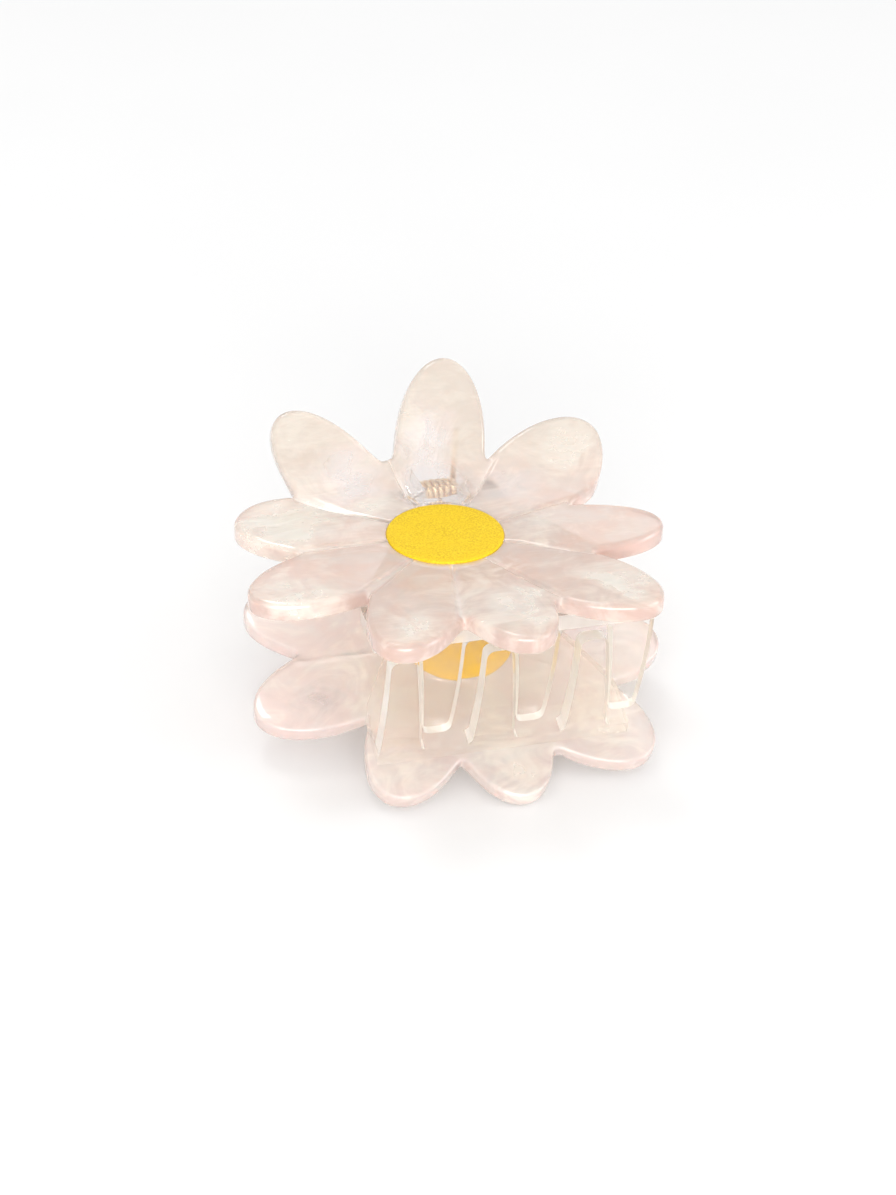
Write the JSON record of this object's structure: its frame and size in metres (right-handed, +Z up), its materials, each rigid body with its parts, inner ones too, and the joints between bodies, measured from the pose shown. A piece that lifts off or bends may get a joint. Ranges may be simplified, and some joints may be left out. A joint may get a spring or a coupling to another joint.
{
  "type": "flower hair claw clip",
  "caption": "Daisy-shaped hair claw clip: two marbled acetate flowers with yellow centres, clear interlocking combs and a sprung pin hinge.",
  "frame": {"origin": "centre of the bounding box's bottom, on the table the clip lies on", "axes": "+X along the hinge pin, +Y towards the handle petals, +Z up; the clip lies closed on its lower flower"},
  "size_m": [0.0658, 0.064, 0.0441],
  "materials": {
    "pearl_acetate": "polished, marbled pearl white and pale pink, slightly translucent",
    "yellow_enamel": "matt, fine sandy grain",
    "clear_plastic": "polished clear",
    "pin_steel": "plain",
    "spring_wire": "gold-toned plating"
  },
  "bodies": {
    "lower_jaw": {"lower_flower": "pearl_acetate", "lower_centre": "yellow_enamel", "lower_comb": "clear_plastic", "hinge_pin": "pin_steel", "torsion_spring": "spring_wire"},
    "upper_jaw": {"upper_flower": "pearl_acetate", "upper_centre": "yellow_enamel", "upper_comb": "clear_plastic"}
  },
  "joints": [
    {"name": "jaw_hinge", "type": "hinge", "parent": "lower_jaw", "child": "upper_jaw", "pos_m": [0.00351, 0.02042, 0.02111], "axis": [-1, 0, 0], "range_deg": [0, 42], "stiffness_Nm_per_rad": 0.1, "springref_deg": -57.3, "deforming": ["torsion_spring"]}
  ]
}
